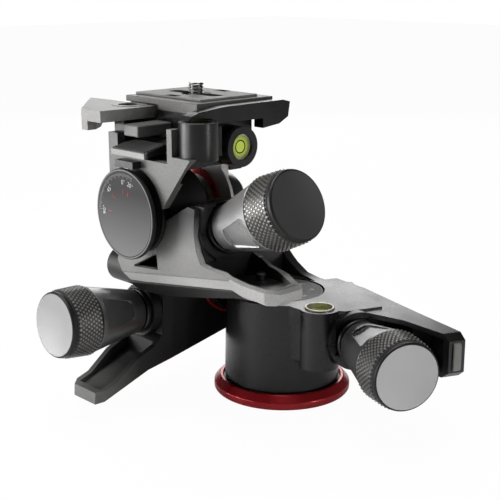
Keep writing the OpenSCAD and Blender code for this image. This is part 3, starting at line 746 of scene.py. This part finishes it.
def add_scales():
    """Strokes round each dial, with a number and a red dash under it at the main angles."""
    tick_inset, number_inset, dash_inset = 1.8, 5.4, 10.2
    number_height, dash_radius, dash_length = 2.7, 0.16, 2.0
    lying = Matrix.Rotation(-math.pi / 2, 4, "X")
    ticks = tick_tree(WHITE_INK)
    for node_name, (axis_name, normal, right, radius) in DIALS.items():
        body, slot_name = body_of[node_name], slot_of[node_name]
        count, first, step, numbered = SCALES[node_name]
        low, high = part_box(node_name)
        centre = Vector(centre_of(node_name))
        axis_index = "XYZ".index(axis_name)
        centre[axis_index] = high[axis_index] if sum(normal) > 0 else low[axis_index]
        flat = frame_on(centre, normal, right)
        sizes = {"Count": count, "First": first, "Step": step, "Rim": (radius - tick_inset) * MM}
        attach(grow(node_name + "_ticks", ticks, sizes, flat, TICK_INK), body)
        for angle in numbered:
            turned = flat @ Matrix.Rotation(-math.radians(angle), 4, "Z")
            number = numeral(f"{node_name}_number_{angle}", f"{abs(angle)}°", number_height,
                             turned @ at(0, radius - number_inset, 0), WHITE_INK)
            attach(number, body)
            dash = ring_mesh(f"{node_name}_dash_{angle}", 0, dash_radius, dash_length,
                             turned @ at(0, radius - dash_inset, 0) @ lying, RED_INK, around=8)
            attach(dash, body)


def add_latch_ribs():
    """Ribs across the latch's thumb plate, which climbs to the back."""
    slope = Matrix.Rotation(math.atan2(1.4, 6.0), 4, "X")
    ribs = grow("latch_ribs", rib_tree(RUBBER), {"Length": 20 * MM, "Count": 9},
                at(-18.5, -67.2, 110.8) @ slope, RUBBER)
    attach(ribs, "latch")


def add_dark_openings():
    """Painted shade: thin dark sheets over the slots and notches in the pad, and a dark disc at the floor of the
    deep hole over the lever's pivot.
    """
    pad_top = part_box("camera_pad")[1][2]
    openings = {
        "pad_slot_left": [(-36, -31), (-35, -33), (-26.6, -33), (-26.6, -27), (-35, -27),
                          (-36, -29)],
        "pad_slot_right": [(-15.6, -33), (-8, -33), (-7, -31), (-7, -29), (-8, -27),
                           (-15.6, -27)],
        "pad_notch_front": [(-24.5, -43.8), (-18, -43.8), (-18, -40.5), (-24.5, -40.5)],
        "pad_notch_rear": [(-24.5, -17), (-18, -17), (-18, -13.4), (-24.5, -13.4)],
    }
    for name, corners in openings.items():
        attach(flat_patch(name, corners, pad_top, 0.04, SHADE), "top_body")
    hole = ring_mesh("lever_hole_floor", 0.05, 4.3, 0.05, at(-34, -54.6, 123.65), SHADE)
    attach(hole, "lever")


# ---------- floor, backdrop, lights and camera ----------
def floor_finish():
    """Pale floor, white to the camera except where the object shades it."""
    seen_share, mirrored_share = 0.97, 0.12
    finish, tree, shader = start_finish("studio floor", 0.7)
    patch = noise(tree, object_place(tree), 30.0)
    plug(tree, ramp(tree, patch, 0.3, 0.7, (0.9, 0.9, 0.9), (0.92, 0.92, 0.92)),
         shader.inputs["Base Color"])
    path = tree.nodes.new("ShaderNodeLightPath")
    seen, glossy, through = [Wire(tree, path.outputs[f"Is {kind} Ray"])
                             for kind in ("Camera", "Glossy", "Transmission")]
    glow = tree.nodes.new("ShaderNodeEmission")
    glow.inputs[0].default_value = (1, 1, 1, 1)
    blend = tree.nodes.new("ShaderNodeMixShader")
    plug(tree, seen * seen_share + glossy.most(through) * mirrored_share, blend.inputs[0])
    tree.links.new(shader.outputs[0], blend.inputs[1])
    tree.links.new(glow.outputs[0], blend.inputs[2])
    tree.links.new(blend.outputs[0], tree.nodes["Material Output"].inputs["Surface"])
    return finish


def build_stage():
    floor_drop, dim_share = 0.05 * MM, 0.05
    bpy.ops.mesh.primitive_plane_add(size=6, location=(0, 0, -floor_drop))
    floor = bpy.context.object
    floor.name = "floor"
    floor.data.materials.append(floor_finish())
    world = bpy.data.worlds.new("studio")
    bpy.context.scene.world = world
    world.use_nodes = True
    tree = world.node_tree
    path = tree.nodes.new("ShaderNodeLightPath")
    seen, through = [Wire(tree, path.outputs[f"Is {kind} Ray"])
                     for kind in ("Camera", "Transmission")]
    back = tree.nodes["Background"]
    back.inputs["Color"].default_value = (1, 1, 1, 1)
    plug(tree, seen.most(through) * (1 - dim_share) + dim_share, back.inputs["Strength"])


# lamps: place and size in metres, power in watts; all of them face the aim
AIM = Vector((0, -0.02, 0.07))
LAMPS = {
    "top box": ((-0.15, -0.1, 0.8), (0.6, 0.6), 5.5),
    "left box": ((-0.6, -0.7, 0.25), (0.45, 0.5), 6.3),
    "low box": ((-0.3, -0.62, 0.03), (0.6, 0.1), 1.2),
    "back box": ((-0.65, 0.6, 0.32), (0.5, 0.4), 1.7),
    "right strip": ((0.75, 0.15, 0.12), (0.08, 0.6), 2.0),
}


def build_lights():
    for name, (place, size, power) in LAMPS.items():
        data = bpy.data.lights.new(name, "AREA")
        data.shape = "RECTANGLE"
        data.size, data.size_y = size
        data.energy = power
        item = show(name, data)
        item.location = place
        item.rotation_euler = (AIM - Vector(place)).to_track_quat("-Z", "Y").to_euler()
        item.visible_camera = False


def build_camera():
    """The camera solved from the photo: place, heading, pitch and lens."""
    sensor_width, focal_pixels, photo_pixels = 36, 1054.32, 500
    pitch, heading = 90 - 14.68, 46.40
    data = bpy.data.cameras.new("photo camera")
    data.sensor_width = sensor_width
    data.lens = sensor_width * focal_pixels / photo_pixels
    camera = show("photo camera", data)
    camera.location = (309.2 * MM, -314.0 * MM, 177.4 * MM)
    camera.rotation_euler = (math.radians(pitch), 0, math.radians(heading))
    bpy.context.scene.camera = camera


dress_dials()
dress_vials()
dress_others()
add_knurls()
add_camera_screw()
add_scales()
add_latch_ribs()
add_dark_openings()
build_stage()
build_lights()
build_camera()
bpy.context.scene.view_settings.view_transform = "Standard"
